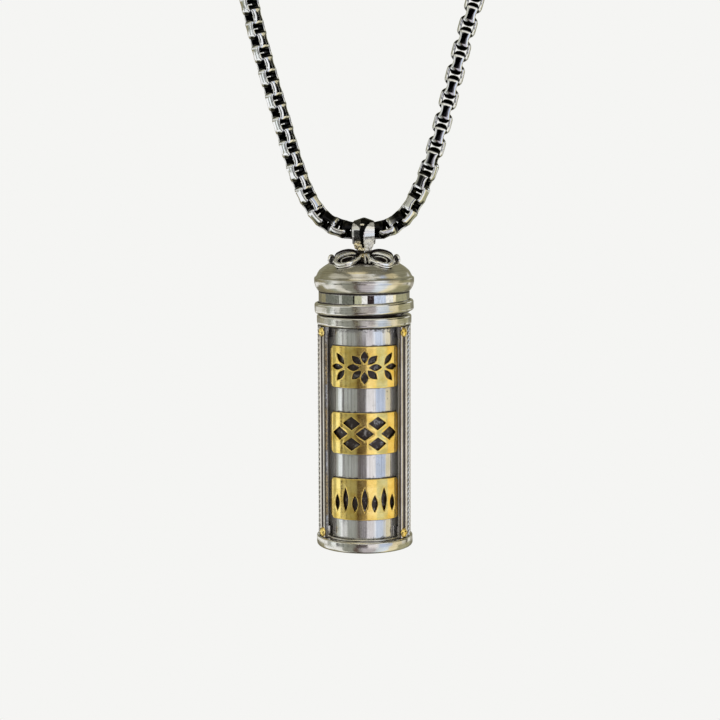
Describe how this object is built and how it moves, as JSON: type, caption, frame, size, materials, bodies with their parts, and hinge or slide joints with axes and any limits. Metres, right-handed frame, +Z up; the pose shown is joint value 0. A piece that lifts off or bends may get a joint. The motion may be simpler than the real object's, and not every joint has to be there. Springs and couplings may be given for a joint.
{
  "type": "prayer wheel",
  "caption": "Cylindrical prayer-wheel pendant: an ornamented drum turns on an axle in a windowed frame under a screw-on domed lid, hung by an eye and a bail from a box chain.",
  "frame": {"origin": "the hanging point: the middle of the closing hook's underside, at the top of the chain", "axes": "+Z up along the drum's axle, front of the pendant towards -Y, chain in the XZ plane"},
  "size_m": [0.0375, 0.0138, 0.1058],
  "materials": {
    "brushed_silver": "fine brushed silver, warm grey",
    "polished_silver": "polished silver with dark oxidised recesses",
    "gold": "gold plate, satin",
    "polished_steel": "polished steel",
    "brass": "turned brass",
    "paper": "rolled paper"
  },
  "bodies": {
    "chain": {"chain": "polished_steel", "end_ring_left": "polished_steel", "end_ring_right": "polished_steel", "chain_hook": "polished_steel"},
    "bail": {"bail": "polished_silver"},
    "lid": {"lid_neck": "brushed_silver", "lid_ring": "brushed_silver", "lid_dome": "brushed_silver", "flower_cap": "polished_silver", "eye_bolt": "polished_silver", "eye_nut": "polished_silver", "upper_bush": "brass"},
    "frame": {"base_cup": "brushed_silver", "side_plate_left": "brushed_silver", "side_plate_right": "brushed_silver", "rope_wire_left_front": "polished_silver", "rope_wire_left_back": "polished_silver", "rope_wire_right_front": "polished_silver", "rope_wire_right_back": "polished_silver", "frame_collar": "brushed_silver", "lower_bush": "brass", "rivet_left_front_lower": "gold", "rivet_left_front_upper": "gold", "rivet_left_back_lower": "gold", "rivet_left_back_upper": "gold", "rivet_right_front_lower": "gold", "rivet_right_front_upper": "gold", "rivet_right_back_lower": "gold", "rivet_right_back_upper": "gold"},
    "drum": {"drum_shell": "polished_silver", "drum_disc_bottom": "polished_silver", "drum_disc_top": "polished_silver", "drum_axle": "brass", "paper_roll": "paper", "plaque_rosette_front": "gold", "plaque_rosette_back": "gold", "plaque_lattice_front": "gold", "plaque_lattice_back": "gold", "plaque_lotus_front": "gold", "plaque_lotus_back": "gold"}
  },
  "joints": [
    {"name": "bail_swing", "type": "hinge", "parent": "chain", "child": "bail", "pos_m": [0, 0, -0.0596], "axis": [1, 0, 0], "range_deg": [-75, 75]},
    {"name": "pendant_swing", "type": "hinge", "parent": "bail", "child": "lid", "pos_m": [0, 0, -0.06183], "axis": [0, 1, 0], "range_deg": [-25, 25]},
    {"name": "frame_release", "type": "slide", "parent": "lid", "child": "frame", "axis": [0, 0, -1], "range_m": [0, 0.008]},
    {"name": "drum_spin", "type": "hinge", "parent": "frame", "child": "drum", "pos_m": [0, 0, -0.10198], "axis": [0, 0, 1], "continuous": true}
  ]
}
